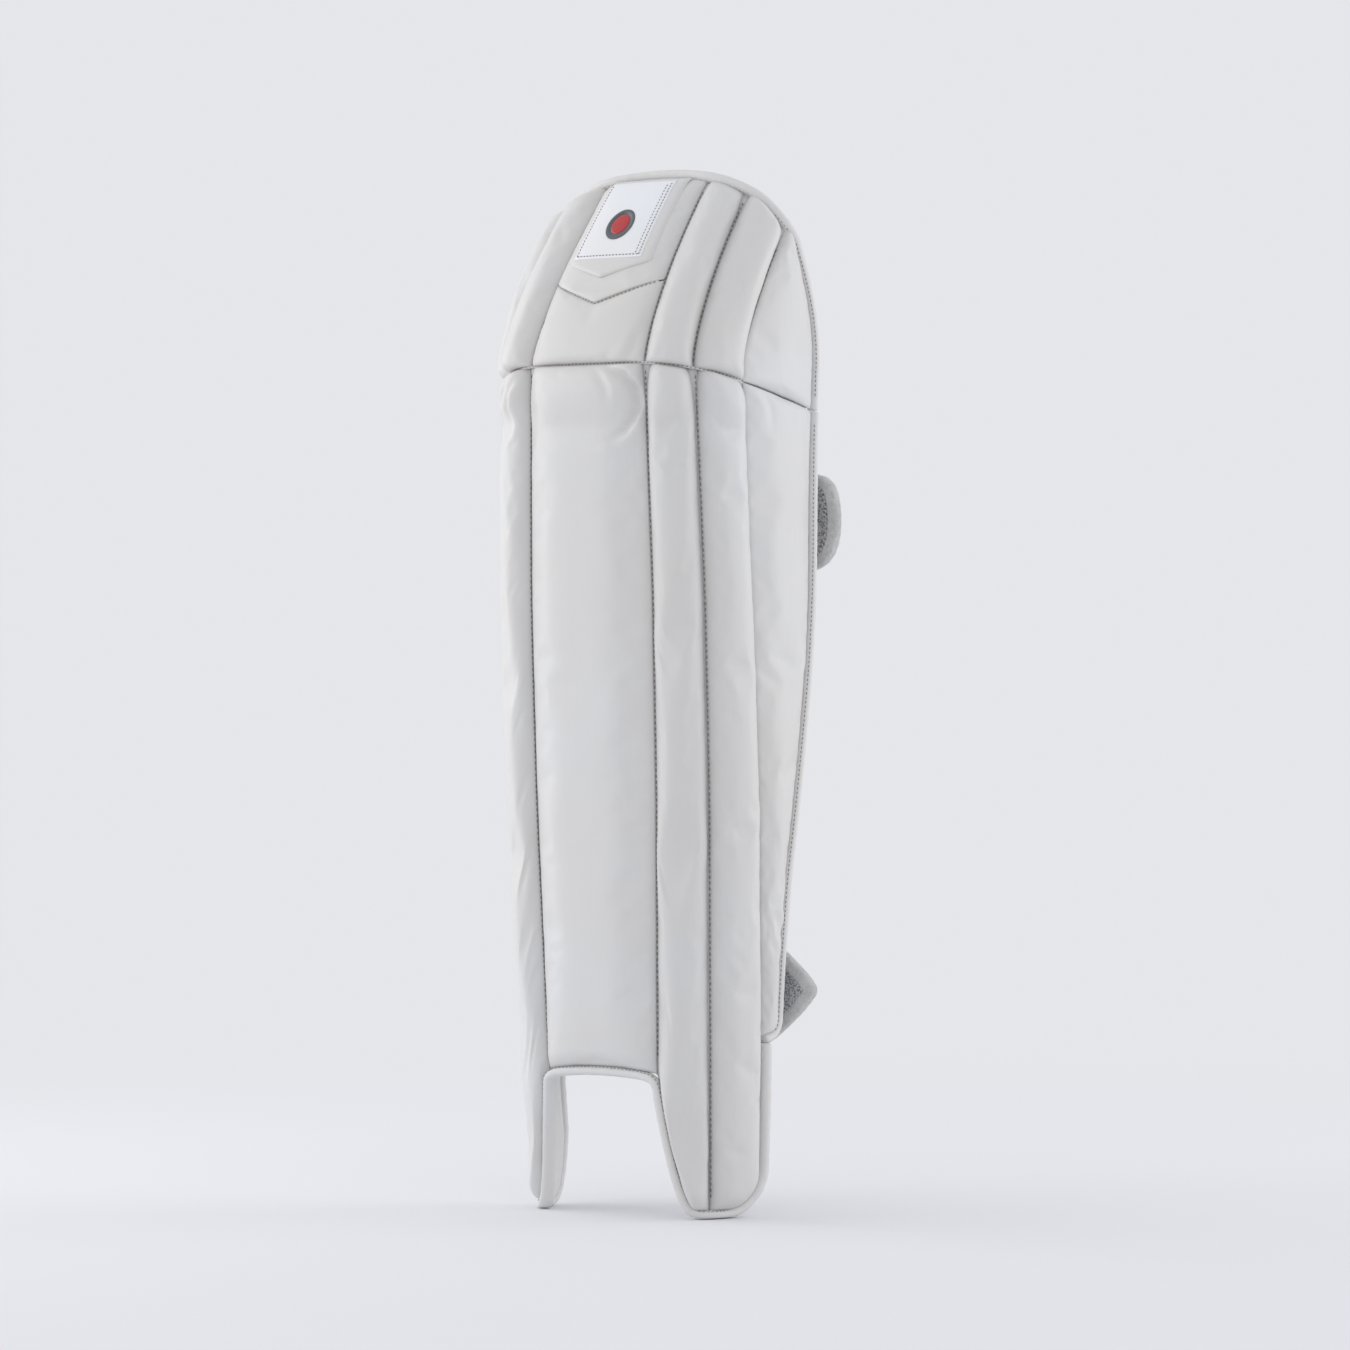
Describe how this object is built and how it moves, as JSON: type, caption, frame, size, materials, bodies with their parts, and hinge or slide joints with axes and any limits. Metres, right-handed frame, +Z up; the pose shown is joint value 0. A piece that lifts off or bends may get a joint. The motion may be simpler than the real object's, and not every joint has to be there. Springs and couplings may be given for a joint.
{
  "type": "wicket-keeping leg pad",
  "caption": "Padded leg guard for a cricket wicket-keeper: rolled shin face, knee section, side wings and two padded back straps, standing on its two leg tips.",
  "frame": {"origin": "on the floor under the middle of the pad's bounding box", "axes": "+Z up along the shin, -Y is the front face that meets the ball, +X is the side on the right when the front is looked at"},
  "size_m": [0.195, 0.1656, 0.6463],
  "materials": {
    "pad_leather": "satin",
    "foam": "matte",
    "lining_cloth": "matte",
    "strap_mesh": "matte",
    "fleece": "matte",
    "webbing": "matte",
    "hook_tape": "matte",
    "ring_plastic": "satin",
    "badge_cloth": "matte",
    "badge_mark": "satin"
  },
  "bodies": {
    "shin": {"shin_panel_cover": "pad_leather", "shin_panel_foam": "foam", "shin_lining": "lining_cloth", "lower_binding": "pad_leather", "inner_roll_right_cover": "pad_leather", "inner_roll_left_cover": "pad_leather", "inner_roll_right_foam": "foam", "inner_roll_left_foam": "foam", "outer_roll_right_cover": "pad_leather", "outer_roll_left_cover": "pad_leather", "outer_roll_right_foam": "foam", "outer_roll_left_foam": "foam", "shin_bolster_right": "lining_cloth", "shin_bolster_left": "lining_cloth"},
    "knee": {"knee_panel_cover": "pad_leather", "knee_panel_foam": "foam", "chevron_panel_cover": "pad_leather", "chevron_panel_foam": "foam", "badge_backing": "pad_leather", "badge_patch": "badge_cloth", "badge_emblem": "badge_mark", "knee_inner_roll_right_cover": "pad_leather", "knee_inner_roll_left_cover": "pad_leather", "knee_inner_roll_right_foam": "foam", "knee_inner_roll_left_foam": "foam", "knee_outer_roll_right_cover": "pad_leather", "knee_outer_roll_left_cover": "pad_leather", "knee_outer_roll_right_foam": "foam", "knee_outer_roll_left_foam": "foam", "side_panel_right": "pad_leather", "side_panel_left": "pad_leather", "knee_lining": "lining_cloth", "knee_cup": "lining_cloth", "top_binding": "pad_leather"},
    "wing_right": {"wing_right_cover": "pad_leather", "wing_right_foam": "foam", "wing_right_lining": "lining_cloth", "wing_right_binding": "pad_leather", "ring_keeper_upper": "webbing", "ring_keeper_lower": "webbing"},
    "wing_left": {"wing_left_cover": "pad_leather", "wing_left_foam": "foam", "wing_left_lining": "lining_cloth", "wing_left_binding": "pad_leather", "strap_anchor_upper": "webbing", "strap_anchor_lower": "webbing"},
    "strap_upper": {"strap_pad_upper": "strap_mesh", "strap_border_upper": "fleece", "strap_webbing_upper": "webbing"},
    "strap_lower": {"strap_pad_lower": "strap_mesh", "strap_border_lower": "fleece", "strap_webbing_lower": "webbing"},
    "tongue_upper": {"tongue_upper": "webbing", "hook_patch_upper": "hook_tape"},
    "tongue_lower": {"tongue_lower": "webbing", "hook_patch_lower": "hook_tape"},
    "ring_upper": {"ring_upper": "ring_plastic"},
    "ring_lower": {"ring_lower": "ring_plastic"}
  },
  "joints": [
    {"name": "knee_flex", "type": "hinge", "parent": "shin", "child": "knee", "pos_m": [-0.003, -0.0722, 0.5212], "axis": [-1, 0, 0], "range_deg": [-4, 5]},
    {"name": "wing_right_open", "type": "hinge", "parent": "shin", "child": "wing_right", "pos_m": [0.07785, -0.0142, 0.3], "axis": [-0.004, 0.0513, -0.9987], "range_deg": [-8, 22]},
    {"name": "wing_left_open", "type": "hinge", "parent": "shin", "child": "wing_left", "pos_m": [-0.08385, -0.0142, 0.3], "axis": [-0.004, -0.0513, 0.9987], "range_deg": [0, 22]},
    {"name": "strap_upper_open", "type": "hinge", "parent": "wing_left", "child": "strap_upper", "pos_m": [-0.08045, 0.0563, 0.425], "axis": [0, 0, 1], "range_deg": [0, 100]},
    {"name": "strap_lower_open", "type": "hinge", "parent": "wing_left", "child": "strap_lower", "pos_m": [-0.07745, 0.0282, 0.135], "axis": [0, 0, 1], "range_deg": [0, 100]},
    {"name": "tongue_upper_peel", "type": "hinge", "parent": "strap_upper", "child": "tongue_upper", "pos_m": [0.06355, 0.07, 0.425], "axis": [0, 0, -1], "range_deg": [0, 150]},
    {"name": "tongue_lower_peel", "type": "hinge", "parent": "strap_lower", "child": "tongue_lower", "pos_m": [0.05955, 0.0419, 0.135], "axis": [0, 0, -1], "range_deg": [0, 150]},
    {"name": "ring_upper_swing", "type": "hinge", "parent": "wing_right", "child": "ring_upper", "pos_m": [0.07246, 0.02319, 0.425], "axis": [0, 0, 1], "range_deg": [0, 70]},
    {"name": "ring_lower_swing", "type": "hinge", "parent": "wing_right", "child": "ring_lower", "pos_m": [0.06815, 0.00482, 0.135], "axis": [0, 0, 1], "range_deg": [0, 70]}
  ]
}
